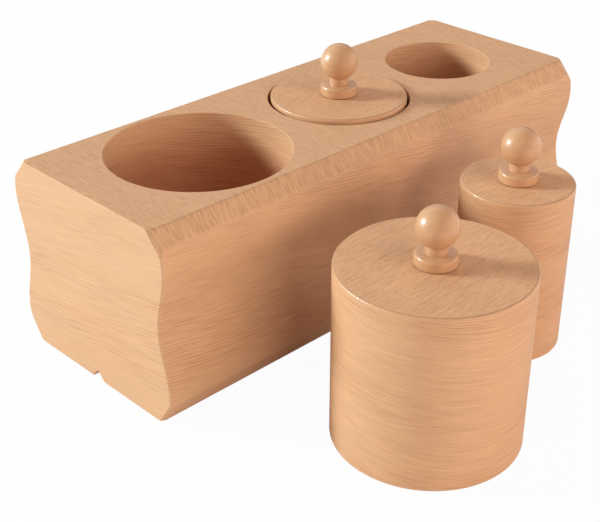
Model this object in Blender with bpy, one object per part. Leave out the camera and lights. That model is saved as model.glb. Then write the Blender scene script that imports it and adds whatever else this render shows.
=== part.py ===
"""Knobbed cylinder block: a beech block with three blind holes, and three beech cylinders with knobs.

Blender 4.5, metres, +Z up. The origin is on the table, at the middle of the ground that the whole
set covers. +X runs along the block from its largest hole to its smallest, and +Y points to its back.
The middle cylinder is in its hole. The large and the small one stand on the table before the block.
"""
import math

import bmesh
import bpy
from mathutils import Matrix, Vector

# Block, across its length
BLOCK_HEIGHT = 0.1030
BULGE_HALF_WIDTH = 0.0581
WAIST_HALF_WIDTH = 0.0523
BULGE_CREST_INSET = 0.0185
TOP_HALF_WIDTH = 0.0502
TOP_CHAMFER_HEIGHT = 0.0077
TOP_EDGE_ROUNDING = 0.0008
CHAMFER_FOOT_ROUNDING = 0.0010
UNDERSIDE_HALF_WIDTH = 0.0500
BOTTOM_CHAMFER_HEIGHT = 0.0124
BOTTOM_EDGE_ROUNDING = 0.0020
GROOVE_HALF_WIDTH = 0.0048
GROOVE_DEPTH = 0.0050

# Block, along its length
END_WALL = 0.0235
WEB = 0.0135
HOLE_FLOOR = 0.0152
HOLE_RIM_EASING = 0.0004
END_ROUNDING = 0.0010
TOP_END_ROUNDING = 0.0006
FACET_LENGTH = 0.0026
HIGH_FACET_INSET = 0.0023
LOW_FACET_INSET = 0.0012

# Cylinders
LARGE_RADIUS = 0.0452
MIDDLE_RADIUS = 0.0368
SMALL_RADIUS = 0.0284
CYLINDER_HEIGHT = 0.0896
CYLINDER_TOP_ROUNDING = 0.0013
CYLINDER_BOTTOM_ROUNDING = 0.0010

# Knobs, the same on all three cylinders
BALL_RADIUS = 0.0098
KNOB_HEIGHT = 0.0278
COLLAR_RADIUS = 0.0098
COLLAR_THICKNESS = 0.0057
COLLAR_TOP_ROUNDING = 0.0013
COLLAR_BOTTOM_ROUNDING = 0.0005
DOWEL_RADIUS = 0.0050
DOWEL_CHAMFER = 0.0006
DOWEL_REACH_IN_CYLINDER = 0.0200
DOWEL_REACH_PAST_BALL_CENTRE = 0.0030

# Fits and places
HOLE_CLEARANCE = 0.0016
SEAT_GAP = 0.0003
GLUE_GAP = 0.0003
CUT_OVERRUN = 0.0050
WELD_DISTANCE = 0.000005
LARGE_STANDS_ASIDE = 0.0157
LARGE_FRONT_GAP = 0.0367
SMALL_SIDE_GAP = 0.0192
SMALL_FRONT_GAP = 0.0276

# Fineness of the round stretches, in steps
HOLE_STEPS = 80
CYLINDER_STEPS = 64
BALL_STEPS = 32
BALL_RINGS = 12
COLLAR_STEPS = 40
DOWEL_STEPS = 24
WAVE_STEPS = 14
CORNER_STEPS = 3
END_STEPS = 4
SMOOTH_ANGLE = math.radians(32)

# Places that follow from the sizes
BLOCK_LENGTH = 2 * (END_WALL + WEB + LARGE_RADIUS + MIDDLE_RADIUS + SMALL_RADIUS + 3 * HOLE_CLEARANCE)
LARGE_HOLE_X = END_WALL + LARGE_RADIUS + HOLE_CLEARANCE - BLOCK_LENGTH / 2
MIDDLE_HOLE_X = LARGE_HOLE_X + LARGE_RADIUS + WEB + MIDDLE_RADIUS + 2 * HOLE_CLEARANCE
SMALL_HOLE_X = MIDDLE_HOLE_X + MIDDLE_RADIUS + WEB + SMALL_RADIUS + 2 * HOLE_CLEARANCE
FRONT_REACH = BULGE_HALF_WIDTH + LARGE_FRONT_GAP + 2 * LARGE_RADIUS
BLOCK_Y = (FRONT_REACH - BULGE_HALF_WIDTH) / 2
FRONT_Y = BLOCK_Y - BULGE_HALF_WIDTH
LARGE_X = LARGE_HOLE_X + LARGE_STANDS_ASIDE
LARGE_Y = FRONT_Y - LARGE_FRONT_GAP - LARGE_RADIUS
SMALL_X = LARGE_X + LARGE_RADIUS + SMALL_SIDE_GAP + SMALL_RADIUS
SMALL_Y = FRONT_Y - SMALL_FRONT_GAP - SMALL_RADIUS
BORE_RADIUS = DOWEL_RADIUS + GLUE_GAP
BALL_CENTRE = KNOB_HEIGHT - BALL_RADIUS

# Finishes of the oiled beech: linear red, green and blue, and how matt it is
BLOCK_COLOUR = (0.62, 0.36, 0.20)
BLOCK_ROUGHNESS = 0.45
CYLINDER_COLOUR = (0.60, 0.33, 0.18)
CYLINDER_ROUGHNESS = 0.42
KNOB_COLOUR = (0.64, 0.37, 0.20)
KNOB_ROUGHNESS = 0.25


def clear_scene():
    """Removes whatever the file holds before the set is modelled."""
    for item in list(bpy.data.objects):
        bpy.data.objects.remove(item, do_unlink=True)


def wood(name, colour, roughness):
    """A plain beech finish."""
    material = bpy.data.materials.new(name)
    material.use_nodes = True
    shader = material.node_tree.nodes["Principled BSDF"]
    shader.inputs["Base Color"].default_value = (*colour, 1.0)
    shader.inputs["Roughness"].default_value = roughness
    shader.inputs["Metallic"].default_value = 0.0
    return material


def add_object(name, mesh_maker, material, parent=None, location=(0.0, 0.0, 0.0)):
    """Turns the mesh that mesh_maker draws into a named, smooth-shaded object."""
    drawing = bmesh.new()
    mesh_maker(drawing)
    bmesh.ops.recalc_face_normals(drawing, faces=drawing.faces)
    mesh = bpy.data.meshes.new(name)
    drawing.to_mesh(mesh)
    drawing.free()
    mesh.materials.append(material)
    mesh.shade_smooth()
    mesh.set_sharp_from_angle(angle=SMOOTH_ANGLE)
    item = bpy.data.objects.new(name, mesh)
    item.location = location
    item.parent = parent
    bpy.context.collection.objects.link(item)
    return item


def rounded_corner(before, corner, after, radius):
    """Points of the arc that rounds off a corner of an outline."""
    before, corner, after = Vector(before), Vector(corner), Vector(after)
    back = (before - corner).normalized()
    onward = (after - corner).normalized()
    half_angle = back.angle(onward) / 2
    centre = corner + (back + onward).normalized() * radius / math.sin(half_angle)
    spoke = corner + back * radius / math.tan(half_angle) - centre
    last_spoke = corner + onward * radius / math.tan(half_angle) - centre
    turn = spoke.angle_signed(last_spoke)
    points = []
    for step in range(CORNER_STEPS + 1):
        points.append(centre + Matrix.Rotation(-turn * step / CORNER_STEPS, 2) @ spoke)
    return [tuple(point) for point in points]


def spin_outline(drawing, outline, steps):
    """Turns an open outline of (radius, height) points, which starts and ends on the axis, into a solid."""
    corners = [drawing.verts.new((radius, 0.0, height)) for radius, height in outline]
    edges = [drawing.edges.new(pair) for pair in zip(corners, corners[1:])]
    bmesh.ops.spin(
        drawing,
        geom=corners + edges,
        cent=(0.0, 0.0, 0.0),
        axis=(0.0, 0.0, 1.0),
        angle=math.tau,
        steps=steps,
        use_merge=True,
    )
    bmesh.ops.remove_doubles(drawing, verts=drawing.verts, dist=WELD_DISTANCE)


def side_half_width(height):
    """Half the block's width at a height between its chamfers: two bulges with a waist between them."""
    middle = (BULGE_HALF_WIDTH + WAIST_HALF_WIDTH) / 2
    swing = (BULGE_HALF_WIDTH - WAIST_HALF_WIDTH) / 2
    crest_distance = BLOCK_HEIGHT - 2 * BULGE_CREST_INSET
    return middle - swing * math.cos(math.tau * (height - BLOCK_HEIGHT / 2) / crest_distance)


def chamfer_corners(flat_half_width, chamfer_height, foot_half_width, facet, flat, side):
    """Half width at a chamfer's flat and depth of its foot, where face, flat and side are drawn in."""
    slope = (foot_half_width - flat_half_width) / chamfer_height
    face = facet * math.hypot(1, slope)
    return flat_half_width + slope * flat - face, chamfer_height + (face - side) / slope


def half_outline(side, top, high_facet, low_facet):
    """One side of the block's cross-section, from the edge of its top down to the groove under it."""
    high_width = side_half_width(BLOCK_HEIGHT - TOP_CHAMFER_HEIGHT)
    low_width = side_half_width(BOTTOM_CHAMFER_HEIGHT)
    top_half_width, high_depth = chamfer_corners(
        TOP_HALF_WIDTH, TOP_CHAMFER_HEIGHT, high_width, high_facet, top, side
    )
    bottom_half_width, low_foot = chamfer_corners(
        UNDERSIDE_HALF_WIDTH, BOTTOM_CHAMFER_HEIGHT, low_width, low_facet, side, side
    )
    high_foot = BLOCK_HEIGHT - high_depth
    wave = []
    for step in range(WAVE_STEPS + 1):
        height = high_foot + (low_foot - high_foot) * step / WAVE_STEPS
        wave.append((side_half_width(height) - side, height))
    top_height = BLOCK_HEIGHT - top
    top_edge = (top_half_width, top_height)
    bottom_edge = (bottom_half_width, side)
    groove_edge = (GROOVE_HALF_WIDTH, side)
    points = rounded_corner((0.0, top_height), top_edge, wave[0], TOP_EDGE_ROUNDING)
    points += rounded_corner(top_edge, wave[0], wave[1], CHAMFER_FOOT_ROUNDING)
    points += wave[1:-1]
    points += rounded_corner(wave[-2], wave[-1], bottom_edge, CHAMFER_FOOT_ROUNDING)
    points += rounded_corner(wave[-1], bottom_edge, groove_edge, BOTTOM_EDGE_ROUNDING)
    points.append(groove_edge)
    return points


def end_inset(distance, radius):
    """How far a rounded end edge has drawn in at a distance from the end face."""
    if distance >= radius:
        return 0.0
    return radius - math.sqrt(radius**2 - (radius - distance) ** 2)


def block_section(distance):
    """The (y, z) points of the cross-section at a distance from an end face, from +Y round to -Y."""
    side = end_inset(distance, END_ROUNDING)
    top = end_inset(distance, TOP_END_ROUNDING)
    facet_share = 1 - distance / FACET_LENGTH
    half = half_outline(side, top, HIGH_FACET_INSET * facet_share, LOW_FACET_INSET * facet_share)
    mirrored = [(-across, height) for across, height in reversed(half)]
    return half + [(0.0, GROOVE_DEPTH + side)] + mirrored


def draw_block(drawing):
    """The block without its holes, as sections that are joined along its length."""
    stations = []
    for step in range(END_STEPS + 1):
        distance = END_ROUNDING * (1 - math.cos(math.pi / 2 * step / END_STEPS))
        stations.append((distance - BLOCK_LENGTH / 2, distance))
    stations.append((FACET_LENGTH - BLOCK_LENGTH / 2, FACET_LENGTH))
    stations += [(-place, distance) for place, distance in reversed(stations)]
    loops = []
    for place, distance in stations:
        section = block_section(distance)
        corners = [drawing.verts.new((place, across, height)) for across, height in section]
        closed = zip(corners, corners[1:] + corners[:1])
        loops.append([drawing.edges.new(pair) for pair in closed])
    for one, other in zip(loops, loops[1:]):
        bmesh.ops.bridge_loops(drawing, edges=one + other)
    for ending in (loops[0], loops[-1]):
        bmesh.ops.contextual_create(drawing, geom=ending)


def hole_outline(radius):
    """Outline of the space of a blind hole, from its floor to above the block."""
    rim = radius + HOLE_RIM_EASING
    above = BLOCK_HEIGHT + CUT_OVERRUN
    return [
        (0.0, HOLE_FLOOR),
        (radius, HOLE_FLOOR),
        (radius, BLOCK_HEIGHT - HOLE_RIM_EASING),
        (rim, BLOCK_HEIGHT),
        (rim, above),
        (0.0, above),
    ]


def cut_hole(block, name, place, cylinder_radius, material):
    """Bores the blind hole for one cylinder into the block."""
    outline = hole_outline(cylinder_radius + HOLE_CLEARANCE)
    cutter = add_object(
        name,
        lambda drawing: spin_outline(drawing, outline, HOLE_STEPS),
        material,
        location=(place, BLOCK_Y, 0.0),
    )
    cutter.hide_render = True
    cutter.display_type = "WIRE"
    cut = block.modifiers.new(name, "BOOLEAN")
    cut.operation = "DIFFERENCE"
    cut.solver = "EXACT"
    cut.object = cutter


def add_block(material):
    """The block with its three holes."""
    block = add_object("block_body", draw_block, material, location=(0.0, BLOCK_Y, 0.0))
    cut_hole(block, "large_hole_cutter", LARGE_HOLE_X, LARGE_RADIUS, material)
    cut_hole(block, "middle_hole_cutter", MIDDLE_HOLE_X, MIDDLE_RADIUS, material)
    cut_hole(block, "small_hole_cutter", SMALL_HOLE_X, SMALL_RADIUS, material)


def cylinder_outline(radius):
    """Outline of a cylinder that has the dowel's bore in its top."""
    low_edge = (radius, 0.0)
    high_edge = (radius, CYLINDER_HEIGHT)
    bore_edge = (BORE_RADIUS, CYLINDER_HEIGHT)
    bore_end = CYLINDER_HEIGHT - DOWEL_REACH_IN_CYLINDER - GLUE_GAP
    points = [(0.0, 0.0)]
    points += rounded_corner((0.0, 0.0), low_edge, high_edge, CYLINDER_BOTTOM_ROUNDING)
    points += rounded_corner(low_edge, high_edge, bore_edge, CYLINDER_TOP_ROUNDING)
    points += [bore_edge, (BORE_RADIUS, bore_end), (0.0, bore_end)]
    return points


def draw_collar(drawing):
    """The collar's ring, spun from its closed cross-section. Its height counts from the cylinder's top."""
    low, high = GLUE_GAP, COLLAR_THICKNESS
    low_edge, high_edge = (COLLAR_RADIUS, low), (COLLAR_RADIUS, high)
    inner_low, inner_high = (BORE_RADIUS, low), (BORE_RADIUS, high)
    outline = [inner_low]
    outline += rounded_corner(inner_low, low_edge, high_edge, COLLAR_BOTTOM_ROUNDING)
    outline += rounded_corner(low_edge, high_edge, inner_high, COLLAR_TOP_ROUNDING)
    outline += [inner_high, inner_low]
    spin_outline(drawing, outline, COLLAR_STEPS)


def draw_dowel(drawing):
    """The dowel that holds ball, collar and cylinder together. Its height counts from the cylinder's top."""
    low = -DOWEL_REACH_IN_CYLINDER
    high = BALL_CENTRE + DOWEL_REACH_PAST_BALL_CENTRE
    outline = [
        (0.0, low),
        (DOWEL_RADIUS - DOWEL_CHAMFER, low),
        (DOWEL_RADIUS, low + DOWEL_CHAMFER),
        (DOWEL_RADIUS, high - DOWEL_CHAMFER),
        (DOWEL_RADIUS - DOWEL_CHAMFER, high),
        (0.0, high),
    ]
    spin_outline(drawing, outline, DOWEL_STEPS)


def draw_ball(drawing):
    """The ball with the dowel's blind bore in its underside. Its height counts from the cylinder's top."""
    bore_end = BALL_CENTRE + DOWEL_REACH_PAST_BALL_CENTRE + GLUE_GAP
    mouth_angle = math.asin(BORE_RADIUS / BALL_RADIUS)
    outline = [(0.0, bore_end), (BORE_RADIUS, bore_end)]
    for ring in range(BALL_RINGS + 1):
        angle = mouth_angle + (math.pi - mouth_angle) * ring / BALL_RINGS
        outline.append((BALL_RADIUS * math.sin(angle), BALL_CENTRE - BALL_RADIUS * math.cos(angle)))
    outline[-1] = (0.0, KNOB_HEIGHT)
    spin_outline(drawing, outline, BALL_STEPS)


def add_knobbed_cylinder(size_name, radius, place, cylinder_wood, knob_wood):
    """A cylinder with its collar, dowel and ball, on an empty that stands on the cylinder's own axis."""
    axis = bpy.data.objects.new(size_name + "_axis", None)
    axis.location = place
    bpy.context.collection.objects.link(axis)
    outline = cylinder_outline(radius)
    add_object(
        size_name + "_cylinder",
        lambda drawing: spin_outline(drawing, outline, CYLINDER_STEPS),
        cylinder_wood,
        axis,
    )
    for piece_name, draw_piece in (("collar", draw_collar), ("dowel", draw_dowel), ("ball", draw_ball)):
        add_object(
            size_name + "_knob_" + piece_name,
            draw_piece,
            knob_wood,
            axis,
            (0.0, 0.0, CYLINDER_HEIGHT),
        )


def main():
    clear_scene()
    block_wood = wood("block_beech", BLOCK_COLOUR, BLOCK_ROUGHNESS)
    cylinder_wood = wood("cylinder_beech", CYLINDER_COLOUR, CYLINDER_ROUGHNESS)
    knob_wood = wood("knob_beech", KNOB_COLOUR, KNOB_ROUGHNESS)
    add_block(block_wood)
    large_place = (LARGE_X, LARGE_Y, 0.0)
    middle_place = (MIDDLE_HOLE_X, BLOCK_Y, HOLE_FLOOR + SEAT_GAP)
    small_place = (SMALL_X, SMALL_Y, 0.0)
    add_knobbed_cylinder("large", LARGE_RADIUS, large_place, cylinder_wood, knob_wood)
    add_knobbed_cylinder("middle", MIDDLE_RADIUS, middle_place, cylinder_wood, knob_wood)
    add_knobbed_cylinder("small", SMALL_RADIUS, small_place, cylinder_wood, knob_wood)


main()
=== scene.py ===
"""The knobbed cylinder block, dressed in oiled beech for its picture.

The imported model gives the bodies, the places and the main sizes. Every solid is replaced by a finer mesh
of the same shape, whose points carry their own place in the wood, so that the grain moves with the piece.
Blender 4.5, metres, +Z up.
"""
import math
from collections import namedtuple

import bmesh
import bpy
from bpy.props import FloatProperty, FloatVectorProperty, IntProperty, PointerProperty
from mathutils import Matrix, Vector


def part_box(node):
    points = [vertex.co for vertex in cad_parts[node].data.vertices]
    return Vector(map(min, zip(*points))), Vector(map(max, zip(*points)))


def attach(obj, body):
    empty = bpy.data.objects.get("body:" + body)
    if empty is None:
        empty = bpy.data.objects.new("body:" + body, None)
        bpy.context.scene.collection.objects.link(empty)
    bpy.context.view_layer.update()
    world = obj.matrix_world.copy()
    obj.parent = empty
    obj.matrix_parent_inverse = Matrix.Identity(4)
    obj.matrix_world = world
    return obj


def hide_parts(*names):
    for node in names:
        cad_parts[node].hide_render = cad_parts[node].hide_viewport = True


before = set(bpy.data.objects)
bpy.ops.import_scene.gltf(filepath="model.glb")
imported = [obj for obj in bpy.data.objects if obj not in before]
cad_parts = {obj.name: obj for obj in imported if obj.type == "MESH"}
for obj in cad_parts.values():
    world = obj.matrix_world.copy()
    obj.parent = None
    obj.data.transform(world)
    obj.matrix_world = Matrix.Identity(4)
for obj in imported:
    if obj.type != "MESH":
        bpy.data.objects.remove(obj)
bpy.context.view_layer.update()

bl_info = {
    "name": "Knobbed cylinder block",
    "version": (1, 0, 0),
    "blender": (4, 5, 0),
    "location": "3D View > Sidebar > Cylinder block",
    "description": "Builds a beech block with three knobbed cylinders and its studio",
    "category": "Object",
}

BLOCK_LOW, BLOCK_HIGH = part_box("block_body")
SIZE_NAMES = ("large", "middle", "small")

# A piece of wood: the fibres' heading from +X towards +Y, how much the growth layers fall towards +X and +Y,
# and where in the plank the piece was cut
Grain = namedtuple("Grain", "heading fall start")
BLOCK_GRAIN = Grain(math.radians(90), (0.14, 0.17), (2.70, 1.60, 0.027))
CYLINDER_GRAINS = {
    "large": Grain(math.radians(3), (0.05, -0.04), (0.61, 0.23, 0.17)),
    "middle": Grain(math.radians(8), (0.03, 0.02), (1.37, 0.71, 0.43)),
    "small": Grain(math.radians(-1), (-0.04, 0.05), (2.19, 1.13, 0.79)),
}
KNOB_GRAIN_HEADING = math.radians(25)
KNOB_GRAIN_FALL = (0.10, 0.06)
KNOB_CUT_APART = Vector((0.31, 0.17, 0.11))

# Two neighbouring faces that turn by more than the first angle show wear on their edge, and a painted shade
# on the lip of a top edge, all of it from the second. Both reach a little way over a face, and a long
# stretch of an outline gets points to end them
WEAR_AND_SHADE_STARTS_AT = math.radians(3.0)
WEAR_AND_SHADE_FULL_AT = math.radians(8.0)
WEAR_AND_SHADE_REACH = 0.0008
LONG_STRETCH = 3 * WEAR_AND_SHADE_REACH

# Faces that meet at more than this angle keep a sharp edge between them
SHARP_ANGLE = math.radians(32)
# Points of a turned piece that lie closer together than this are one point
WELD_DISTANCE = 0.000002

# What each point of a mesh carries for the materials: its place in the wood, its share of wear and of the
# painted lip shade, and its depth in a hole, which sets the painted shade in the holes
PLACE_ATTRIBUTE = "grain_place"
WEAR_AND_SHADE_ATTRIBUTE = "edge_wear"
BORE_ATTRIBUTE = "bored"

# Noise: how long its blots are along the fibres, across them and up through the growth layers, and how
# much finer noise lies over them
Blots = namedtuple("Blots", "along across through detail")
WANDER_BLOTS = Blots(0.110, 0.075, 0.060, 2.0)
SHIVER_BLOTS = Blots(0.022, 0.018, 0.0030, 2.0)
BREAK_BLOTS = Blots(0.0200, 0.0170, 0.0012, 1.0)
SEASON_BLOTS = Blots(0.150, 0.120, 0.018, 1.0)
SIDE_STREAK_BLOTS = Blots(0.0180, 0.0150, 0.00055, 1.0)
TOP_STREAK_BLOTS = Blots(0.0075, 0.00052, 0.0075, 0.5)
MOTTLE_BLOTS = Blots(0.060, 0.022, 0.012, 3.0)
WEAR_BLOTS = Blots(0.006, 0.003, 0.003, 3.0)
NOISE_MIDDLE = 0.5

# How much a face looks up, as the height of its normal: where a kind of face starts and where it is whole.
# Slanting faces lie between level and flat ones, and the lip that takes a painted shade between its start
# and its end
LEVEL_FACES = (0.32, 0.55)
FLAT_FACES = (0.78, 0.98)
LIP_STARTS = (0.55, 0.85)
LIP_ENDS = (0.97, 0.999)

# Growth layers: how far from a layer's middle its dark line starts and is darkest, how many layers they
# shiver by, where noise breaks them off or lets them come and go, their strength in a weak and in a strong
# season, and what is left of them on faces that look up
LAYER_MIDDLE = 0.5
LAYER_LINE = (0.12, 0.48)
LAYER_SHIVER = 1.3
LAYER_BREAKS = (0.20, 0.56)
SEASON_TURNS = (0.36, 0.62)
SEASON_STRENGTHS = (0.45, 1.40)
LAYERS_ON_TOP = 0.08

# How far the noise's axes lean, which hides the lattice that noise is made on
ALONG_LEAN = 13.0
ACROSS_LEAN = 11.0
TOP_LEAN = 9.0

# Flecks: where their edge starts and ends in a cell of the noise, how high a cell is against its length,
# and how dark the faintest one is
FLECK_EDGE = (0.60, 0.15)
FLECK_TALLNESS = 5.0
FAINTEST_FLECK = 0.3

# How many times stronger streaks are on faces that look up, and how many times more so on slanting ones,
# and what the slanting ones have on top of that in flecks, and in a painted light that makes them lighter
STREAKS_ON_TOP = 1.5
STREAKS_ON_SLANTS = 1.5
FLECKS_ON_SLANTS = 0.5
PAINTED_SLANT_LIGHT = 0.01

# Relief: how far layers and flecks sink below the streaks, and how much of it the upright faces have
LAYER_SINKING = -0.5
FLECK_SINKING = -0.9
RELIEF_ON_SIDES = 0.35

# Sheen: how much mottling dulls the wood, how much relief does, and what wear leaves of the roughness
MOTTLE_DULLING = 0.16
RELIEF_DULLING = -0.12
WORN_ROUGHNESS = 0.25

# Where noise lets wear through, and how dark the painted shade is on the lip of a rounded top edge
WORN_PATCHES = (0.05, 0.55)
PAINTED_LIP_SHADE = 0.78

# The share of a hole's depth over which the painted shade in the holes, darker and redder wood, sets in
HOLE_SHADE_SETS_IN = (0.0, 0.35)

# What block and cylinders have in common, and the white of the studio
FLECK_WOOD = (0.400, 0.176, 0.080)
OILED_SPECULAR = 0.4
PAPER_COLOUR = (0.90, 0.90, 0.89, 1.0)
PAPER_ROUGHNESS = 0.9
PLAIN_WHITE = (1.0, 1.0, 1.0, 1.0)

# A lamp: its heading from +Y towards +X and its rise, in degrees, its distance, its width and height, its
# tint, and whether it shows in gloss
Lamp = namedtuple("Lamp", "heading rise distance width height tint shows_in_gloss")
WARM = (1.0, 0.91, 0.84)
MILD = (1.0, 0.94, 0.90)
COOL = (0.87, 1.0, 1.0)
LAMPS = {
    "key": Lamp(321, 18, 2.6, 0.58, 0.58, COOL, True),
    "right": Lamp(130, 12, 1.5, 2.10, 0.80, WARM, True),
    "front": Lamp(198, 12, 1.5, 0.75, 0.50, WARM, False),
    "upper_back": Lamp(30, 42, 1.5, 2.00, 1.20, MILD, True),
    "upper_front": Lamp(165, 42, 1.5, 0.70, 0.50, MILD, False),
}
LAMP_TARGET = Vector((-0.02, 0.0, 0.06))
DAYLIGHT_TINT = (1.0, 0.86, 0.78, 1.0)


def middle_of(low, high):
    """The point halfway between two corners of a box."""
    return (low + high) / 2


def solid_radius(size_name):
    """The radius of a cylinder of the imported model."""
    low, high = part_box(size_name + "_cylinder")
    return (high.x - low.x) / 2


def length(name, description, default):
    """A length that a user can set."""
    return FloatProperty(
        name=name, description=description, default=default, min=0.0, unit="LENGTH", precision=5
    )


def angle(name, description, degrees):
    """An angle that a user can set."""
    return FloatProperty(name=name, description=description, default=math.radians(degrees), subtype="ANGLE")


def colour(name, description, default):
    """A linear colour that a user can set."""
    return FloatVectorProperty(
        name=name, description=description, default=default, size=3, min=0.0, max=1.0, subtype="COLOR"
    )


def power(name, description, watts):
    """A lamp's power that a user can set."""
    return FloatProperty(name=name, description=description, default=watts, min=0.0, unit="POWER")


def steps(name, description, default):
    """A number of steps that a user can set."""
    return IntProperty(name=name, description=description, default=default, min=1)


class BlockSettings(bpy.types.PropertyGroup):
    """Sizes and colours of the block."""

    length: length("Length", "Length of the block", BLOCK_HIGH.x - BLOCK_LOW.x)
    height: length("Height", "Height of the block", BLOCK_HIGH.z - BLOCK_LOW.z)
    bulge: length("Bulge half width", "Half width at the two bulges", (BLOCK_HIGH.y - BLOCK_LOW.y) / 2)
    waist: length("Waist half width", "Half width between the bulges", 0.0523)
    crest_inset: length("Crest inset", "Height of a bulge's crest from the nearer face", 0.0185)
    top_half_width: length("Top half width", "Half width of the flat top", 0.0502)
    top_chamfer: length("Top chamfer", "Height of the chamfer along the top", 0.0077)
    top_edge: length("Top edge rounding", "Radius where top and chamfer meet", 0.0020)
    chamfer_foot: length("Chamfer foot rounding", "Radius where chamfer and side meet", 0.0060)
    underside_half_width: length("Underside half width", "Half width of the flat underside", 0.0500)
    bottom_chamfer: length("Bottom chamfer", "Height of the chamfer along the underside", 0.0124)
    bottom_edge: length("Bottom edge rounding", "Radius where underside and chamfer meet", 0.0020)
    groove_half_width: length("Groove half width", "Half width of the groove below", 0.0048)
    groove_depth: length("Groove depth", "Depth of the groove below", 0.0050)
    end_rounding: length("End rounding", "Radius of the end face's side edges", 0.0010)
    top_end_rounding: length("Top end rounding", "Radius of the end face's top edge", 0.0004)
    facet_length: length("Facet length", "How far the corner facets reach along the block", 0.0026)
    high_facet: length("High facet", "How far the upper facets cut into the end face", 0.0023)
    low_facet: length("Low facet", "How far the lower facets cut into the end face", 0.0012)
    end_wall: length("End wall", "Wood between the large hole and the end face", 0.0235)
    web: length("Web", "Wood between two holes", 0.0135)
    hole_floor: length("Hole floor", "Height of the floor of the holes", 0.0152)
    hole_clearance: length("Hole clearance", "Room round a cylinder in its hole", 0.0016)
    rim_easing: length("Rim easing", "Radius of the holes' rims", 0.0004)
    layer_spacing: length("Layer spacing", "Distance between two growth layers", 0.00165)
    wave_steps: steps("Wave steps", "Points along each waved side", 56)
    hole_steps: steps("Hole steps", "Points round each hole", 224)
    pale_wood: colour("Pale wood", "Colour between the growth layers", (0.655, 0.374, 0.208))
    layer_wood: colour("Layer wood", "Colour of the growth layers", (0.505, 0.236, 0.112))
    fleck_wood: colour("Fleck wood", "Colour of the flecks", FLECK_WOOD)
    # Painted shade: what the holes' walls keep of the wood's colour, darker and redder inside
    bore_tint: colour("Painted hole shade", "What the holes' walls keep of the wood's colour", (1.0, 0.85, 0.81))


class CylinderSettings(bpy.types.PropertyGroup):
    """Sizes and colours of the three cylinders."""

    top_rounding: length("Top rounding", "Radius of the top edge", 0.0013)
    bottom_rounding: length("Bottom rounding", "Radius of the bottom edge", 0.0010)
    bore_depth: length("Bore depth", "Depth of the dowel's bore", 0.0203)
    layer_spacing: length("Layer spacing", "Distance between two growth layers", 0.00125)
    turning_steps: steps("Turning steps", "Points round each cylinder", 224)
    pale_wood: colour("Pale wood", "Colour between the growth layers", (0.655, 0.365, 0.199))
    layer_wood: colour("Layer wood", "Colour of the growth layers", (0.490, 0.222, 0.102))
    fleck_wood: colour("Fleck wood", "Colour of the flecks", FLECK_WOOD)


class KnobSettings(bpy.types.PropertyGroup):
    """Sizes and colours of the knobs, which are alike on all three cylinders."""

    ball_radius: length("Ball radius", "Radius of the ball", 0.0098)
    collar_radius: length("Collar radius", "Radius of the collar", 0.0098)
    collar_thickness: length("Collar thickness", "Height of the collar's top above the cylinder", 0.0057)
    collar_top_rounding: length("Collar top rounding", "Radius of the collar's top edge", 0.0013)
    collar_bottom_rounding: length("Collar bottom rounding", "Radius of the collar's bottom edge", 0.0005)
    dowel_radius: length("Dowel radius", "Radius of the dowel", 0.0050)
    dowel_chamfer: length("Dowel chamfer", "Chamfer on the dowel's ends", 0.0006)
    dowel_reach: length("Dowel reach", "How far the dowel reaches past the ball's centre", 0.0030)
    glue_gap: length("Glue gap", "Room that the glue fills", 0.0003)
    layer_spacing: length("Layer spacing", "Distance between two growth layers", 0.0014)
    turning_steps: steps("Turning steps", "Points round each piece", 128)
    ball_rings: steps("Ball rings", "Rings of the ball from its mouth to its top", 56)
    pale_wood: colour("Pale wood", "Colour between the growth layers", (0.605, 0.330, 0.172))
    layer_wood: colour("Layer wood", "Colour of the growth layers", (0.485, 0.236, 0.114))
    fleck_wood: colour("Fleck wood", "Colour of the flecks", (0.400, 0.180, 0.084))


class WoodSettings(bpy.types.PropertyGroup):
    """The beech's own figure, alike on every piece."""

    layer_waver: length("Layer waver", "How far the growth layers wander", 0.0045)
    fleck_length: length("Fleck length", "Length of a fleck along the fibres", 0.0045)
    fleck_width: length("Fleck width", "Width of a fleck", 0.0010)


class StageSettings(bpy.types.PropertyGroup):
    """Camera, lamps and floor."""

    camera_place: FloatVectorProperty(
        name="Camera place",
        description="Where the camera stands",
        default=(-0.43183, -0.36850, 0.35436),
        subtype="TRANSLATION",
    )
    camera_heading: angle("Camera heading", "Heading from +Y towards +X", 44.153)
    camera_fall: angle("Camera fall", "How steeply the camera looks down", 29.585)
    camera_lens: FloatProperty(name="Lens", description="Focal length", default=73.87, unit="CAMERA")
    floor_size: length("Floor size", "Width of the floor", 5.0)
    key_power: power("Key power", "Small lamp at the back left, which draws the shadows", 83.0)
    right_power: power("Right power", "Low wide lamp at the front right", 6.6)
    front_power: power("Front power", "Low wide lamp at the front left", 8.2)
    upper_back_power: power("Upper back power", "High soft lamp behind the set", 6.0)
    upper_front_power: power("Upper front power", "High soft lamp before the set", 5.4)
    daylight: FloatProperty(name="Daylight", description="Strength of the even light", default=0.26, min=0.0)


def rounded_corner(before, corner, after, radius, corner_steps=7):
    """Points of the arc that rounds off a corner of an outline."""
    before, corner, after = Vector(before), Vector(corner), Vector(after)
    back = (before - corner).normalized()
    onward = (after - corner).normalized()
    half_angle = back.angle(onward) / 2
    centre = corner + (back + onward).normalized() * radius / math.sin(half_angle)
    spoke = corner + back * radius / math.tan(half_angle) - centre
    last_spoke = corner + onward * radius / math.tan(half_angle) - centre
    turn = spoke.angle_signed(last_spoke)
    points = []
    for step in range(corner_steps + 1):
        points.append(centre + Matrix.Rotation(-turn * step / corner_steps, 2) @ spoke)
    return [tuple(point) for point in points]


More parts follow.
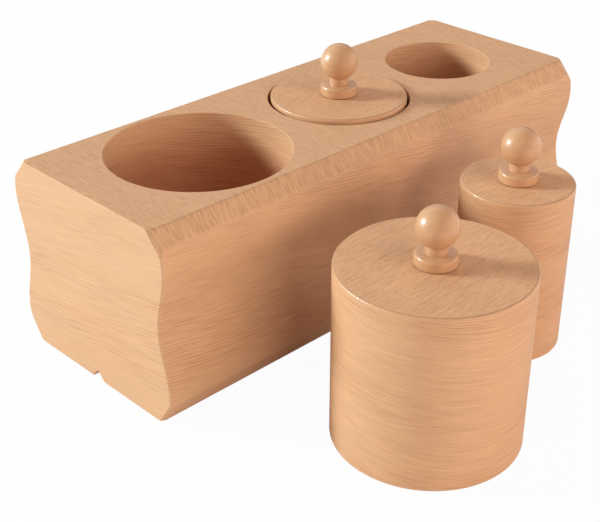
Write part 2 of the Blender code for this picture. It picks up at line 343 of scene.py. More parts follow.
def with_wear_limits(outline):
    """The outline with a point near both ends of each long stretch, so that wear and painted lip shade stay
    by the edges.
    """
    points = []
    for one, other in zip(outline, outline[1:]):
        start, end = Vector(one), Vector(other)
        reach = (end - start).normalized() * WEAR_AND_SHADE_REACH
        points.append(one)
        if (end - start).length > LONG_STRETCH:
            points += [tuple(start + reach), tuple(end - reach)]
    return points + [outline[-1]]


def spin_outline(drawing, outline, turning_steps):
    """Turns an outline of (radius, height) points round the upright axis."""
    corners = [drawing.verts.new((radius, 0.0, height)) for radius, height in with_wear_limits(outline)]
    edges = [drawing.edges.new(pair) for pair in zip(corners, corners[1:])]
    bmesh.ops.spin(
        drawing,
        geom=corners + edges,
        cent=(0.0, 0.0, 0.0),
        axis=(0.0, 0.0, 1.0),
        angle=math.tau,
        steps=turning_steps,
        use_merge=True,
    )
    bmesh.ops.remove_doubles(drawing, verts=drawing.verts, dist=WELD_DISTANCE)


def wear_of(corner):
    """How much wear and painted lip shade a point takes: nothing on a flat or a hollow, all of it on a
    rounded-off edge.
    """
    turn = max(edge.calc_face_angle_signed(0.0) for edge in corner.link_edges)
    worn = (turn - WEAR_AND_SHADE_STARTS_AT) / (WEAR_AND_SHADE_FULL_AT - WEAR_AND_SHADE_STARTS_AT)
    return min(1.0, max(0.0, worn))


def place_in_wood(point, grain):
    """Where a point lies in the wood: along the fibres, across them, and up through the growth layers."""
    along = point.x * math.cos(grain.heading) + point.y * math.sin(grain.heading)
    across = point.y * math.cos(grain.heading) - point.x * math.sin(grain.heading)
    through = point.z + point.x * grain.fall[0] + point.y * grain.fall[1]
    return Vector((along, across, through)) + Vector(grain.start)


def lay_wood(drawing, grain):
    """Gives every point its share of wear and painted lip shade, and its place in the wood."""
    bmesh.ops.recalc_face_normals(drawing, faces=drawing.faces)
    wear = drawing.verts.layers.float.new(WEAR_AND_SHADE_ATTRIBUTE)
    place = drawing.verts.layers.float_vector.new(PLACE_ATTRIBUTE)
    for corner in drawing.verts:
        corner[wear] = wear_of(corner)
        corner[place] = place_in_wood(corner.co, grain)


def add_object(name, drawing, location):
    """Turns a drawing into a smooth-shaded object."""
    mesh = bpy.data.meshes.new(name)
    drawing.to_mesh(mesh)
    drawing.free()
    mesh.shade_smooth()
    mesh.set_sharp_from_angle(angle=SHARP_ANGLE)
    item = bpy.data.objects.new(name, mesh)
    item.location = location
    bpy.context.collection.objects.link(item)
    return item


def dress_node(item, material, body, node):
    """Finishes a piece of wood: its material and body, and the solid it stands for."""
    item.data.materials.append(material)
    flats = item.modifiers.new("flats", "WEIGHTED_NORMAL")
    flats.keep_sharp = True
    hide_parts(node)
    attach(item, body)


def side_half_width(block, height):
    """Half the block's width at a height between its chamfers: two bulges with a waist between them."""
    middle = (block.bulge + block.waist) / 2
    swing = (block.bulge - block.waist) / 2
    crest_distance = block.height - 2 * block.crest_inset
    return middle - swing * math.cos(math.tau * (height - block.height / 2) / crest_distance)


def chamfer_corners(flat_half_width, chamfer_height, foot_half_width, facet, flat, side):
    """Half width at a chamfer's flat and depth of its foot, where face, flat and side are drawn in."""
    slope = (foot_half_width - flat_half_width) / chamfer_height
    face = facet * math.hypot(1, slope)
    return flat_half_width + slope * flat - face, chamfer_height + (face - side) / slope


def half_outline(block, side, top, high_facet, low_facet, rounded_off=2):
    """One side of the block's cross-section, from the edge of its top down to the groove under it.

    Each chamfer's foot takes the place of the wave's points at its end, as many as are rounded off.
    """
    high_width = side_half_width(block, block.height - block.top_chamfer)
    low_width = side_half_width(block, block.bottom_chamfer)
    top_half_width, high_depth = chamfer_corners(
        block.top_half_width, block.top_chamfer, high_width, high_facet, top, side
    )
    bottom_half_width, low_foot = chamfer_corners(
        block.underside_half_width, block.bottom_chamfer, low_width, low_facet, side, side
    )
    high_foot = block.height - high_depth
    wave = []
    for step in range(block.wave_steps + 1):
        height = high_foot + (low_foot - high_foot) * step / block.wave_steps
        wave.append((side_half_width(block, height) - side, height))
    top_height = block.height - top
    top_edge = (top_half_width, top_height)
    bottom_edge = (bottom_half_width, side)
    groove_edge = (block.groove_half_width, side)
    points = rounded_corner((0.0, top_height), top_edge, wave[0], block.top_edge)
    points += rounded_corner(top_edge, wave[0], wave[rounded_off], block.chamfer_foot)
    points += wave[rounded_off:-rounded_off]
    points += rounded_corner(wave[-1 - rounded_off], wave[-1], bottom_edge, block.chamfer_foot)
    points += rounded_corner(wave[-1], bottom_edge, groove_edge, block.bottom_edge)
    points.append(groove_edge)
    return points


def end_inset(distance, radius):
    """How far a rounded end edge has drawn in at a distance from the end face."""
    if distance >= radius:
        return 0.0
    return radius - math.sqrt(radius**2 - (radius - distance) ** 2)


def block_section(block, distance):
    """The (across, height) points of the cross-section at a distance from an end face."""
    side = end_inset(distance, block.end_rounding)
    top = end_inset(distance, block.top_end_rounding)
    facet_share = 1 - distance / block.facet_length
    half = half_outline(block, side, top, block.high_facet * facet_share, block.low_facet * facet_share)
    mirrored = [(-across, height) for across, height in reversed(half)]
    around = half + [(0.0, block.groove_depth + side)] + mirrored
    return with_wear_limits(around + around[:1])[:-1]


def draw_block(drawing, block, end_steps=9):
    """The block without its holes, as sections that are joined along its length."""
    stations = []
    for step in range(end_steps + 1):
        distance = block.end_rounding * (1 - math.cos(math.pi / 2 * step / end_steps))
        stations.append((distance - block.length / 2, distance))
    stations.append((block.facet_length - block.length / 2, block.facet_length))
    stations += [(-place, distance) for place, distance in reversed(stations)]
    loops = []
    for place, distance in stations:
        section = block_section(block, distance)
        corners = [drawing.verts.new((place, across, height)) for across, height in section]
        closed = zip(corners, corners[1:] + corners[:1])
        loops.append([drawing.edges.new(pair) for pair in closed])
    for one, other in zip(loops, loops[1:]):
        bmesh.ops.bridge_loops(drawing, edges=one + other)
    for ending in (loops[0], loops[-1]):
        bmesh.ops.contextual_create(drawing, geom=ending)
    bmesh.ops.recalc_face_normals(drawing, faces=drawing.faces)


def hole_outline(block, radius, rim_steps=4):
    """Outline of the space of a blind hole, from its floor to above the block, with the rim rounded."""
    above = block.height + block.hole_floor
    centre = (radius + block.rim_easing, block.height - block.rim_easing)
    points = [(0.0, block.hole_floor), (radius, block.hole_floor)]
    for step in range(rim_steps + 1):
        turn = math.pi / 2 * step / rim_steps
        across = centre[0] - block.rim_easing * math.cos(turn)
        points.append((across, centre[1] + block.rim_easing * math.sin(turn)))
    return points + [(centre[0], above), (0.0, above)]


def hole_places(block):
    """The radius and the place along the block of each hole, from the largest to the smallest."""
    places = []
    start = block.end_wall - block.length / 2
    for size_name in SIZE_NAMES:
        radius = solid_radius(size_name) + block.hole_clearance
        places.append((radius, start + radius))
        start += 2 * radius + block.web
    return places


def bored_block(block):
    """A drawing of the block with its three holes bored into it."""
    centre = middle_of(BLOCK_LOW, BLOCK_HIGH)
    solid = bmesh.new()
    draw_block(solid, block)
    blank = add_object("blank", solid, (centre.x, centre.y, BLOCK_LOW.z))
    cutters = []
    for radius, place in hole_places(block):
        space = bmesh.new()
        spin_outline(space, hole_outline(block, radius), block.hole_steps)
        bmesh.ops.recalc_face_normals(space, faces=space.faces)
        cutter = add_object("cutter", space, (centre.x + place, centre.y, BLOCK_LOW.z))
        cut = blank.modifiers.new("hole", "BOOLEAN")
        cut.operation = "DIFFERENCE"
        cut.solver = "EXACT"
        cut.object = cutter
        cutters.append(cutter)
    drawing = bmesh.new()
    drawing.from_object(blank, bpy.context.evaluated_depsgraph_get())
    for item in [blank] + cutters:
        bpy.data.objects.remove(item, do_unlink=True)
    return drawing


def mark_bores(drawing, block):
    """Tells every point in a hole how deep it lies, from nothing at the top to one at the floor, for the
    painted shade.
    """
    bored = drawing.verts.layers.float.new(BORE_ATTRIBUTE)
    hole_depth = block.height - block.hole_floor
    lowest = block.hole_floor - WELD_DISTANCE
    for radius, place in hole_places(block):
        reach = radius + block.rim_easing / 2
        for corner in drawing.verts:
            if corner.co.z > lowest and math.hypot(corner.co.x - place, corner.co.y) < reach:
                corner[bored] = (block.height - corner.co.z) / hole_depth


def cylinder_outline(cylinder, knob, radius, height):
    """Outline of a cylinder that has the dowel's bore in its top."""
    bore_radius = knob.dowel_radius + knob.glue_gap
    low_edge = (radius, 0.0)
    high_edge = (radius, height)
    bore_edge = (bore_radius, height)
    bore_end = height - cylinder.bore_depth
    points = [(0.0, 0.0)]
    points += rounded_corner((0.0, 0.0), low_edge, high_edge, cylinder.bottom_rounding)
    points += rounded_corner(low_edge, high_edge, bore_edge, cylinder.top_rounding)
    points += [bore_edge, (bore_radius, bore_end), (0.0, bore_end)]
    return points


def collar_outline(knob):
    """Closed cross-section of the collar's ring, tight round the dowel. Heights count from the cylinder."""
    low, high = knob.glue_gap, knob.collar_thickness
    low_edge, high_edge = (knob.collar_radius, low), (knob.collar_radius, high)
    inner_low, inner_high = (knob.dowel_radius, low), (knob.dowel_radius, high)
    points = [inner_low]
    points += rounded_corner(inner_low, low_edge, high_edge, knob.collar_bottom_rounding)
    points += rounded_corner(low_edge, high_edge, inner_high, knob.collar_top_rounding)
    return points + [inner_high, inner_low]


def dowel_outline(knob, ball_centre, reach_down):
    """Outline of the dowel that holds ball, collar and cylinder together."""
    high = ball_centre + knob.dowel_reach
    inner = knob.dowel_radius - knob.dowel_chamfer
    return [
        (0.0, -reach_down),
        (inner, -reach_down),
        (knob.dowel_radius, knob.dowel_chamfer - reach_down),
        (knob.dowel_radius, high - knob.dowel_chamfer),
        (inner, high),
        (0.0, high),
    ]


def ball_outline(knob, ball_centre):
    """Outline of the ball with the dowel's blind bore in its underside."""
    bore_radius = knob.dowel_radius + knob.glue_gap
    bore_end = ball_centre + knob.dowel_reach + knob.glue_gap
    mouth_angle = math.asin(bore_radius / knob.ball_radius)
    points = [(0.0, bore_end), (bore_radius, bore_end)]
    for ring in range(knob.ball_rings):
        turn = mouth_angle + (math.pi - mouth_angle) * ring / knob.ball_rings
        across = knob.ball_radius * math.sin(turn)
        points.append((across, ball_centre - knob.ball_radius * math.cos(turn)))
    return points + [(0.0, ball_centre + knob.ball_radius)]


def add_turned_piece(name, outline, turning_steps, location, grain):
    """A turned piece of wood, drawn from its outline."""
    drawing = bmesh.new()
    spin_outline(drawing, outline, turning_steps)
    lay_wood(drawing, grain)
    return add_object(name, drawing, location)


def add_node(tree, kind, **settings):
    """Adds a shader node and sets what it is told."""
    made = tree.nodes.new(kind)
    for name, value in settings.items():
        setattr(made, name, value)
    return made


def feed(tree, socket, source):
    """Links a socket to another one, or sets its value."""
    if isinstance(source, bpy.types.NodeSocket):
        tree.links.new(source, socket)
    else:
        socket.default_value = source


def fill(tree, node, values):
    """Links or sets the named inputs of a node."""
    for name, value in values.items():
        feed(tree, node.inputs[name], value)


def reckon(tree, operation, *terms):
    """One sum of a shader. It stays between nothing and one where the operation's name ends in a star."""
    clamped = operation.endswith("*")
    made = add_node(tree, "ShaderNodeMath", operation=operation.rstrip("*"), use_clamp=clamped)
    for socket, term in zip(made.inputs, terms):
        feed(tree, socket, term)
    return made.outputs[0]


def soft_step(tree, value, start, end):
    """Nothing below start and one above end, with a smooth rise between them."""
    made = add_node(tree, "ShaderNodeMapRange", interpolation_type="SMOOTHSTEP")
    fill(tree, made, {"Value": value, "From Min": start, "From Max": end})
    return made.outputs["Result"]


def blend_colours(tree, mask, one, other):
    """The first colour where the mask is nothing, the other where it is one."""
    made = add_node(tree, "ShaderNodeMix", data_type="RGBA")
    sockets = {socket.identifier: socket for socket in made.inputs}
    feed(tree, sockets["Factor_Float"], mask)
    feed(tree, sockets["A_Color"], one)
    feed(tree, sockets["B_Color"], other)
    return next(socket for socket in made.outputs if socket.identifier == "Result_Color")


def blend_values(tree, mask, one, other):
    """The first value where the mask is nothing, the other where it is one."""
    return reckon(tree, "MULTIPLY_ADD", mask, reckon(tree, "SUBTRACT", other, one), one)


def between(tree, mask, start, end):
    """The start where the mask is nothing, the end where it is one. Both are plain numbers."""
    return reckon(tree, "MULTIPLY_ADD", mask, end - start, start)


def shaded(tree, wood, shade):
    """A colour made lighter or darker all over."""
    made = add_node(tree, "ShaderNodeVectorMath", operation="SCALE")
    feed(tree, made.inputs[0], wood)
    feed(tree, made.inputs["Scale"], shade)
    return made.outputs[0]


def separated(tree, vector):
    """The three numbers of a vector."""
    parts = add_node(tree, "ShaderNodeSeparateXYZ")
    tree.links.new(vector, parts.inputs[0])
    return parts.outputs


def combined(tree, axes, sizes):
    """A vector of three axes, each counted in its own size."""
    made = add_node(tree, "ShaderNodeCombineXYZ")
    for socket, axis, size in zip(made.inputs, axes, sizes):
        feed(tree, socket, reckon(tree, "DIVIDE", axis, size))
    return made.outputs[0]


def stretched_noise(tree, axes, blots):
    """Noise from nothing to one, whose blots are stretched along the wood's axes."""
    noise = add_node(tree, "ShaderNodeTexNoise")
    fill(tree, noise, {"Vector": combined(tree, axes, blots), "Scale": 1.0, "Detail": blots.detail})
    return noise.outputs[0]


def swing(tree, noise):
    """Noise that swings evenly to both sides of nothing."""
    return reckon(tree, "SUBTRACT", noise, NOISE_MIDDLE)


def new_group(name, inputs, outputs):
    """An empty shader node group with named sockets, and its input and output nodes."""
    tree = bpy.data.node_groups.new(name, "ShaderNodeTree")
    for socket_name, kind in inputs:
        tree.interface.new_socket(socket_name, in_out="INPUT", socket_type=kind)
    for socket_name, kind in outputs:
        tree.interface.new_socket(socket_name, in_out="OUTPUT", socket_type=kind)
    return tree, tree.nodes.new("NodeGroupInput").outputs, tree.nodes.new("NodeGroupOutput").inputs


def upward_facing(tree):
    """One on a face that looks straight up, nothing on an upright one and less than nothing below."""
    return separated(tree, add_node(tree, "ShaderNodeTexCoord").outputs["Normal"])["Z"]


def face_masks(tree):
    """Masks of all faces that look up, of the slanting ones among them, and of the upright faces."""
    upward = upward_facing(tree)
    level = soft_step(tree, upward, *LEVEL_FACES)
    slanting = reckon(tree, "SUBTRACT", level, soft_step(tree, upward, *FLAT_FACES))
    return level, slanting, reckon(tree, "SUBTRACT", 1.0, level)


def leaned(tree, axis, other, lean):
    """An axis that leans over with another one."""
    return reckon(tree, "MULTIPLY_ADD", other, lean, axis)


def fleck_mask(tree, axes, fleck_length, fleck_width):
    """Short spindles along the fibres, each as dark as its own chance makes it."""
    tall = reckon(tree, "MULTIPLY", fleck_length, FLECK_TALLNESS)
    cells = combined(tree, axes, (fleck_length, fleck_width, tall))
    spindles = add_node(tree, "ShaderNodeTexVoronoi", feature="F1")
    fill(tree, spindles, {"Vector": cells, "Scale": 1.0})
    chance = separated(tree, spindles.outputs["Color"])["X"]
    body = soft_step(tree, spindles.outputs["Distance"], *FLECK_EDGE)
    return reckon(tree, "MULTIPLY", body, between(tree, chance, FAINTEST_FLECK, 1.0))


def layer_mask(tree, height, spacing, unevenness):
    """Narrow dark lines where one year's growth ends, at uneven distances."""
    even = reckon(tree, "DIVIDE", height, spacing)
    uneven = reckon(tree, "MULTIPLY_ADD", unevenness, LAYER_SHIVER, even)
    from_middle = reckon(tree, "SUBTRACT", reckon(tree, "FRACT", uneven), LAYER_MIDDLE)
    return soft_step(tree, reckon(tree, "ABSOLUTE", from_middle), *LAYER_LINE)


def growth_layers(tree, given, place_axes, side_axes, steep):
    """The layers' dark lines, which break off, come and go, and all but vanish on faces that look up."""
    shiver = stretched_noise(tree, side_axes, SHIVER_BLOTS)
    broken = soft_step(tree, stretched_noise(tree, side_axes, BREAK_BLOTS), *LAYER_BREAKS)
    season = soft_step(tree, stretched_noise(tree, place_axes, SEASON_BLOTS), *SEASON_TURNS)
    layers = layer_mask(tree, place_axes[-1], given["Layer spacing"], shiver)
    for strength in (
        broken,
        between(tree, season, *SEASON_STRENGTHS),
        between(tree, steep, LAYERS_ON_TOP, 1.0),
    ):
        layers = reckon(tree, "MULTIPLY", layers, strength)
    return layers


def fine_streaks(tree, side_axes, top_axes, level, slanting):
    """Fine light and dark streaks, stronger on the faces that look up."""
    side_streaks = stretched_noise(tree, side_axes, SIDE_STREAK_BLOTS)
    top_streaks = stretched_noise(tree, top_axes, TOP_STREAK_BLOTS)
    streaks = swing(tree, blend_values(tree, level, side_streaks, top_streaks))
    streaks = reckon(tree, "MULTIPLY", streaks, between(tree, level, 1.0, STREAKS_ON_TOP))
    return reckon(tree, "MULTIPLY", streaks, between(tree, slanting, 1.0, STREAKS_ON_SLANTS))


def figured_wood(tree, given, layers, flecks, shades):
    """Pale wood with layers and flecks on it, made lighter and darker by each of the shades, painted light
    among them.
    """
    wood = given["Pale wood"]
    for part, mask in (("Layer", layers), ("Fleck", flecks)):
        amount = reckon(tree, "MULTIPLY*", mask, given[part + " strength"])
        wood = blend_colours(tree, amount, wood, given[part + " wood"])
    shade = 1.0
    for mask, strength in shades:
        shade = reckon(tree, "MULTIPLY_ADD", mask, strength, shade)
    return shaded(tree, wood, shade)


def grain_relief(tree, layers, flecks, streaks, level):
    """The height of the grain: raised streaks, sunken layers and flecks, less of all on upright faces."""
    raised = reckon(tree, "MULTIPLY_ADD", layers, LAYER_SINKING, streaks)
    raised = reckon(tree, "MULTIPLY_ADD", flecks, FLECK_SINKING, raised)
    return reckon(tree, "MULTIPLY", raised, between(tree, level, RELIEF_ON_SIDES, 1.0))


def beech_figure_group():
    """Beech: growth layers, fine streaks, flecks on faces that look up, mottling, and painted light on
    upward faces.
    """
    existing = bpy.data.node_groups.get("Beech figure")
    if existing:
        return existing
    inputs = (
        ("Place", "NodeSocketVector"),
        ("Layer spacing", "NodeSocketFloat"),
        ("Layer waver", "NodeSocketFloat"),
        ("Fleck length", "NodeSocketFloat"),
        ("Fleck width", "NodeSocketFloat"),
        ("Layer strength", "NodeSocketFloat"),
        ("Streak strength", "NodeSocketFloat"),
        ("Fleck strength", "NodeSocketFloat"),
        ("Mottle strength", "NodeSocketFloat"),
        ("Top tone", "NodeSocketFloat"),
        ("Pale wood", "NodeSocketColor"),
        ("Layer wood", "NodeSocketColor"),
        ("Fleck wood", "NodeSocketColor"),
    )
    outputs = (
        ("Colour", "NodeSocketColor"),
        ("Grain", "NodeSocketFloat"),
        ("Mottle", "NodeSocketFloat"),
        ("Level", "NodeSocketFloat"),
    )
    tree, given, result = new_group("Beech figure", inputs, outputs)
    axes = along, across, through = separated(tree, given["Place"])
    level, slanting, steep = face_masks(tree)
    wander = swing(tree, stretched_noise(tree, axes, WANDER_BLOTS))
    height = reckon(tree, "MULTIPLY_ADD", wander, given["Layer waver"], through)
    leaned_along = leaned(tree, along, height, ALONG_LEAN)
    side_axes = (leaned_along, leaned(tree, across, height, ACROSS_LEAN), height)
    top_axes = (leaned(tree, along, across, TOP_LEAN), across, through)

    layers = growth_layers(tree, given, (along, across, height), side_axes, steep)
    streaks = fine_streaks(tree, side_axes, top_axes, level, slanting)
    flecks = fleck_mask(tree, axes, given["Fleck length"], given["Fleck width"])
    flecked_faces = reckon(tree, "MULTIPLY_ADD", slanting, FLECKS_ON_SLANTS, level)
    flecks = reckon(tree, "MULTIPLY", flecks, flecked_faces)
    mottle = swing(tree, stretched_noise(tree, axes, MOTTLE_BLOTS))
    shades = (
        (streaks, given["Streak strength"]),
        (mottle, given["Mottle strength"]),
        # Painted light: slanting faces and faces that look up are made lighter
        (slanting, PAINTED_SLANT_LIGHT),
        (level, given["Top tone"]),
    )
    feed(tree, result["Colour"], figured_wood(tree, given, layers, flecks, shades))
    feed(tree, result["Grain"], grain_relief(tree, layers, flecks, streaks, level))
    feed(tree, result["Mottle"], mottle)
    feed(tree, result["Level"], level)
    return tree


def edge_wear_group():
    """Edges that hands have polished: paler and smoother wood in patches. And a painted shade: a darker lip
    round the top.
    """
    existing = bpy.data.node_groups.get("Edge wear")
    if existing:
        return existing
    inputs = (
        ("Colour", "NodeSocketColor"),
        ("Roughness", "NodeSocketFloat"),
        ("Worn wood", "NodeSocketColor"),
        ("Wear", "NodeSocketFloat"),
        ("Place", "NodeSocketVector"),
    )
    outputs = (("Colour", "NodeSocketColor"), ("Roughness", "NodeSocketFloat"))
    tree, given, result = new_group("Edge wear", inputs, outputs)
    worn = add_node(tree, "ShaderNodeAttribute", attribute_name=WEAR_AND_SHADE_ATTRIBUTE).outputs["Fac"]
    patches = stretched_noise(tree, separated(tree, given["Place"]), WEAR_BLOTS)
    mask = reckon(tree, "MULTIPLY", worn, soft_step(tree, patches, *WORN_PATCHES))
    mask = reckon(tree, "MULTIPLY*", mask, given["Wear"])
    polished = blend_colours(tree, mask, given["Colour"], given["Worn wood"])
    # Painted shade: a darker lip on the rounding of each top edge, where the light falls away from it
    upward = upward_facing(tree)
    lip = reckon(tree, "SUBTRACT", soft_step(tree, upward, *LIP_STARTS), soft_step(tree, upward, *LIP_ENDS))
    lip = reckon(tree, "MULTIPLY", reckon(tree, "MULTIPLY", lip, worn), given["Wear"])
    feed(tree, result["Colour"], shaded(tree, polished, between(tree, lip, 1.0, PAINTED_LIP_SHADE)))
    smoother = between(tree, mask, 1.0, WORN_ROUGHNESS)
    feed(tree, result["Roughness"], reckon(tree, "MULTIPLY", given["Roughness"], smoother))
    return tree


def opaque(wood):
    """A colour that a user has set, as a shader takes it."""
    return (*wood, 1.0)


def beech(name, piece, wood, strengths, painted_top_light, roughness, top_dulling, wear, relief):
    """A beech material on the shared figure with its painted top light, edge wear and painted lip shade.
    Returns it and its main shader.
    """
    material = bpy.data.materials.new(name)
    material.use_nodes = True
    tree = material.node_tree
    shader = tree.nodes["Principled BSDF"]
    place = add_node(tree, "ShaderNodeAttribute", attribute_name=PLACE_ATTRIBUTE).outputs["Vector"]
    figure = add_node(tree, "ShaderNodeGroup", node_tree=beech_figure_group())
    edges = add_node(tree, "ShaderNodeGroup", node_tree=edge_wear_group())
    bump = add_node(tree, "ShaderNodeBump")
    figure_values = {
        "Place": place,
        "Layer spacing": piece.layer_spacing,
        "Layer waver": wood.layer_waver,
        "Fleck length": wood.fleck_length,
        "Fleck width": wood.fleck_width,
        "Top tone": painted_top_light,
        "Pale wood": opaque(piece.pale_wood),
        "Layer wood": opaque(piece.layer_wood),
        "Fleck wood": opaque(piece.fleck_wood),
    }
    for part, strength in strengths.items():
        figure_values[part + " strength"] = strength
    fill(tree, figure, figure_values)
    dullings = {"Mottle": MOTTLE_DULLING, "Grain": RELIEF_DULLING, "Level": top_dulling}
    dulled = roughness
    for part, dulling in dullings.items():
        dulled = reckon(tree, "MULTIPLY_ADD*", figure.outputs[part], dulling, dulled)
    # The amount of wear also sets how dark the painted lip shade is
    edge_values = {
        "Colour": figure.outputs["Colour"],
        "Roughness": dulled,
        "Worn wood": opaque(piece.pale_wood),
        "Wear": wear,
        "Place": place,
    }
    shader_values = {
        "Base Color": edges.outputs["Colour"],
        "Roughness": edges.outputs["Roughness"],
        "Normal": bump.outputs["Normal"],
    }
    fill(tree, edges, edge_values)
    fill(tree, bump, {"Height": figure.outputs["Grain"], "Distance": relief})
    fill(tree, shader, shader_values)
    return material, shader


def redden_bores(tree, shader, bore_tint):
    """Paints shade into the holes' walls: darker, redder wood, strongest deep down, where the shade falls.
    """
    planed = shader.inputs["Base Color"].links[0].from_socket
    bored = add_node(tree, "ShaderNodeAttribute", attribute_name=BORE_ATTRIBUTE)
    hole_shaded = add_node(tree, "ShaderNodeVectorMath", operation="MULTIPLY")
    feed(tree, hole_shaded.inputs[0], planed)
    feed(tree, hole_shaded.inputs[1], bore_tint)
    mask = soft_step(tree, bored.outputs["Fac"], *HOLE_SHADE_SETS_IN)
    feed(tree, shader.inputs["Base Color"], blend_colours(tree, mask, planed, hole_shaded.outputs[0]))


def oiled_block_wood(scene):
    """Oiled, satin beech of the block."""
    material, shader = beech(
        "oiled_block_wood",
        scene.block_settings,
        scene.wood_settings,
        strengths={"Layer": 0.46, "Streak": 0.31, "Fleck": 0.28, "Mottle": 0.12},
        # Painted light: faces that look up are made a little lighter
        painted_top_light=0.03,
        roughness=0.46,
        top_dulling=0.20,
        wear=0.15,
        relief=0.00009,
    )
    # Painted shade: darker, redder walls in the holes
    redden_bores(material.node_tree, shader, scene.block_settings.bore_tint)
    shader.inputs["Specular IOR Level"].default_value = OILED_SPECULAR
    return material


def oiled_cylinder_wood(scene):
    """Oiled, satin beech of the turned cylinders, a little smoother than the block."""
    material, shader = beech(
        "oiled_cylinder_wood",
        scene.cylinder_settings,
        scene.wood_settings,
        strengths={"Layer": 0.56, "Streak": 0.37, "Fleck": 0.27, "Mottle": 0.10},
        # Painted light: faces that look up are made a little lighter
        painted_top_light=0.05,
        roughness=0.42,
        top_dulling=0.22,
        wear=0.9,
        relief=0.00007,
    )
    shader.inputs["Specular IOR Level"].default_value = OILED_SPECULAR
    return material


def lacquered_knob_wood(scene):
    """Lacquered, glossy beech of the knobs."""
    material, shader = beech(
        "lacquered_knob_wood",
        scene.knob_settings,
        scene.wood_settings,
        strengths={"Layer": 0.40, "Streak": 0.06, "Fleck": 0.04, "Mottle": 0.12},
        painted_top_light=0.0,
        roughness=0.42,
        top_dulling=0.0,
        wear=0.3,
        relief=0.00002,
    )
    shader.inputs["Coat Weight"].default_value = 0.42
    shader.inputs["Coat Roughness"].default_value = 0.23
    return material


def kept_material(maker, scene):
    """A material that is made once and used again."""
    return bpy.data.materials.get(maker.__name__) or maker(scene)


class OBJECT_OT_beech_block(bpy.types.Operator):
    """Builds the block with its three blind holes"""

    bl_idname = "object.beech_block"
    bl_label = "Build the block"

    def execute(self, context):
        """Bores, finishes and places the block."""
        drawing = bored_block(context.scene.block_settings)
        lay_wood(drawing, BLOCK_GRAIN)
        mark_bores(drawing, context.scene.block_settings)
        centre = middle_of(BLOCK_LOW, BLOCK_HIGH)
        block = add_object("beech_block", drawing, (centre.x, centre.y, BLOCK_LOW.z))
        material = kept_material(oiled_block_wood, context.scene)
        dress_node(block, material, "block", "block_body")
        return {"FINISHED"}


class OBJECT_OT_beech_cylinders(bpy.types.Operator):
    """Builds the three turned cylinders"""

    bl_idname = "object.beech_cylinders"
    bl_label = "Build the cylinders"

    def execute(self, context):
        """Turns, finishes and places each cylinder."""
        scene = context.scene
        material = kept_material(oiled_cylinder_wood, scene)
        for size_name in SIZE_NAMES:
            node = size_name + "_cylinder"
            low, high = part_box(node)
            centre = middle_of(low, high)
            outline = cylinder_outline(
                scene.cylinder_settings, scene.knob_settings, solid_radius(size_name), high.z - low.z
            )
            cylinder = add_turned_piece(
                "turned_" + node,
                outline,
                scene.cylinder_settings.turning_steps,
                (centre.x, centre.y, low.z),
                CYLINDER_GRAINS[size_name],
            )
            dress_node(cylinder, material, size_name + "_knobbed_cylinder", node)
        return {"FINISHED"}


class OBJECT_OT_beech_knobs(bpy.types.Operator):
    """Builds the ball, the collar and the dowel of each knob"""

    bl_idname = "object.beech_knobs"
    bl_label = "Build the knobs"

    def execute(self, context):
        """Turns, finishes and places the three pieces of each knob."""
        scene = context.scene
        knob = scene.knob_settings
        material = kept_material(lacquered_knob_wood, scene)
        for number, size_name in enumerate(SIZE_NAMES):
            low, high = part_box(size_name + "_cylinder")
            centre = middle_of(low, high)
            knob_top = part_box(size_name + "_knob_ball")[1].z - high.z
            ball_centre = knob_top - knob.ball_radius
            reach_down = high.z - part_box(size_name + "_knob_dowel")[0].z
            outlines = {
                "collar": collar_outline(knob),
                "dowel": dowel_outline(knob, ball_centre, reach_down),
                "ball": ball_outline(knob, ball_centre),
            }
            for order, (piece_name, outline) in enumerate(outlines.items(), start=1):
                node = size_name + "_knob_" + piece_name
                cut_from = KNOB_CUT_APART * (order + number * len(outlines))
                piece = add_turned_piece(
                    "turned_" + node,
                    outline,
                    knob.turning_steps,
                    (centre.x, centre.y, high.z),
                    Grain(KNOB_GRAIN_HEADING, KNOB_GRAIN_FALL, cut_from),
                )
                dress_node(piece, material, size_name + "_knobbed_cylinder", node)
        return {"FINISHED"}


def seen_by_camera(tree):
    """One for the camera's own rays, which should meet plain white, and nothing for light that bounces."""
    return add_node(tree, "ShaderNodeLightPath").outputs["Is Camera Ray"]


def floor_paper(whiteness=0.96):
    """White paper that shows nearly plain white and keeps a faint shadow."""
    material = bpy.data.materials.new("floor_paper")
    material.use_nodes = True
    tree = material.node_tree
    paper = tree.nodes["Principled BSDF"]
    paper.inputs["Base Color"].default_value = PAPER_COLOUR
    paper.inputs["Roughness"].default_value = PAPER_ROUGHNESS
    paper.inputs["Specular IOR Level"].default_value = 0.0
    white = add_node(tree, "ShaderNodeEmission")
    mixed = add_node(tree, "ShaderNodeMixShader")
    feed(tree, mixed.inputs[0], reckon(tree, "MULTIPLY", seen_by_camera(tree), whiteness))
    tree.links.new(paper.outputs[0], mixed.inputs[1])
    tree.links.new(white.outputs[0], mixed.inputs[2])
    tree.links.new(mixed.outputs[0], tree.nodes["Material Output"].inputs["Surface"])
    return material


def add_floor(size, squares=8, drop=0.0001):
    """A square floor just below the pieces."""
    drawing = bmesh.new()
    bmesh.ops.create_grid(drawing, x_segments=squares, y_segments=squares, size=size / 2)
    mesh = bpy.data.meshes.new("floor")
    drawing.to_mesh(mesh)
    drawing.free()
    mesh.materials.append(floor_paper())
    floor = bpy.data.objects.new("floor", mesh)
    floor.location = (0.0, 0.0, -drop)
    bpy.context.collection.objects.link(floor)


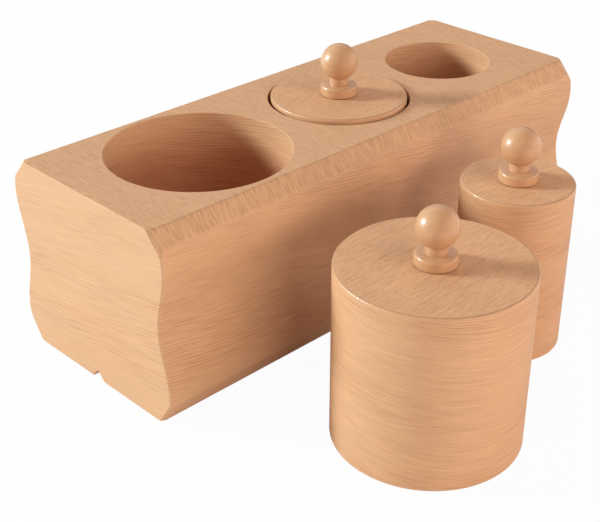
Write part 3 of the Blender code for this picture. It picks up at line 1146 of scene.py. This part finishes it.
def add_lamp(name, kind, watts):
    """A flat soft lamp that faces the set."""
    lamp = bpy.data.lights.new(name, "AREA")
    lamp.shape = "RECTANGLE"
    lamp.size = kind.width
    lamp.size_y = kind.height
    lamp.energy = watts
    lamp.color = kind.tint
    turned, raised = math.radians(kind.heading), math.radians(kind.rise)
    level = math.cos(raised)
    away = Vector((math.sin(turned) * level, math.cos(turned) * level, math.sin(raised)))
    item = bpy.data.objects.new(name, lamp)
    item.location = LAMP_TARGET + away * kind.distance
    item.rotation_euler = (-away).to_track_quat("-Z", "Y").to_euler()
    item.visible_glossy = kind.shows_in_gloss
    bpy.context.collection.objects.link(item)


def add_lamps(stage):
    """A small key from the back left, two low wide fills from the front and two high soft ones."""
    for name, kind in LAMPS.items():
        add_lamp(name + "_lamp", kind, getattr(stage, name + "_power"))


def light_world(daylight):
    """An even, slightly warm light from all round, which shows as plain white behind the floor."""
    world = bpy.data.worlds.new("studio")
    bpy.context.scene.world = world
    world.use_nodes = True
    tree = world.node_tree
    even = tree.nodes["Background"]
    even.inputs["Color"].default_value = DAYLIGHT_TINT
    even.inputs["Strength"].default_value = daylight
    white = add_node(tree, "ShaderNodeBackground")
    white.inputs["Color"].default_value = PLAIN_WHITE
    mixed = add_node(tree, "ShaderNodeMixShader")
    feed(tree, mixed.inputs[0], seen_by_camera(tree))
    tree.links.new(even.outputs[0], mixed.inputs[1])
    tree.links.new(white.outputs[0], mixed.inputs[2])
    tree.links.new(mixed.outputs[0], tree.nodes["World Output"].inputs["Surface"])


def add_camera(stage):
    """The camera, where the picture was taken from."""
    camera = bpy.data.cameras.new("camera")
    camera.lens = stage.camera_lens
    item = bpy.data.objects.new("camera", camera)
    item.location = stage.camera_place
    item.rotation_euler = (math.pi / 2 - stage.camera_fall, 0.0, -stage.camera_heading)
    bpy.context.collection.objects.link(item)
    bpy.context.scene.camera = item


class SCENE_OT_beech_stage(bpy.types.Operator):
    """Sets up the floor, the lamps, the even light and the camera"""

    bl_idname = "scene.beech_stage"
    bl_label = "Set the stage"

    def execute(self, context):
        """Builds the stage round the set."""
        stage = context.scene.stage_settings
        context.scene.view_settings.view_transform = "Standard"
        add_floor(stage.floor_size)
        add_lamps(stage)
        light_world(stage.daylight)
        add_camera(stage)
        return {"FINISHED"}


class VIEW3D_PT_cylinder_block(bpy.types.Panel):
    """Lists the steps that build the set, and what a user can change"""

    bl_label = "Cylinder block"
    bl_space_type = "VIEW_3D"
    bl_region_type = "UI"
    bl_category = "Cylinder block"

    def draw(self, context):
        """Draws one button for each step and one box for each group of settings."""
        for step in STEPS:
            self.layout.operator(step.bl_idname)
        for name in SETTINGS:
            box = self.layout.box()
            group = getattr(context.scene, name)
            for setting in group.__annotations__:
                box.prop(group, setting)


STEPS = (OBJECT_OT_beech_block, OBJECT_OT_beech_cylinders, OBJECT_OT_beech_knobs, SCENE_OT_beech_stage)
SETTINGS = {
    "block_settings": BlockSettings,
    "cylinder_settings": CylinderSettings,
    "knob_settings": KnobSettings,
    "wood_settings": WoodSettings,
    "stage_settings": StageSettings,
}


def register():
    """Makes the settings, the steps and the panel known to Blender."""
    for name, group in SETTINGS.items():
        bpy.utils.register_class(group)
        setattr(bpy.types.Scene, name, PointerProperty(type=group))
    for step in STEPS:
        bpy.utils.register_class(step)
    bpy.utils.register_class(VIEW3D_PT_cylinder_block)


def unregister():
    """Takes the panel, the steps and the settings away again."""
    bpy.utils.unregister_class(VIEW3D_PT_cylinder_block)
    for step in reversed(STEPS):
        bpy.utils.unregister_class(step)
    for name, group in reversed(SETTINGS.items()):
        delattr(bpy.types.Scene, name)
        bpy.utils.unregister_class(group)


def main():
    """Builds the whole set."""
    register()
    bpy.ops.object.beech_block()
    bpy.ops.object.beech_cylinders()
    bpy.ops.object.beech_knobs()
    bpy.ops.scene.beech_stage()


if __name__ == "__main__":
    main()
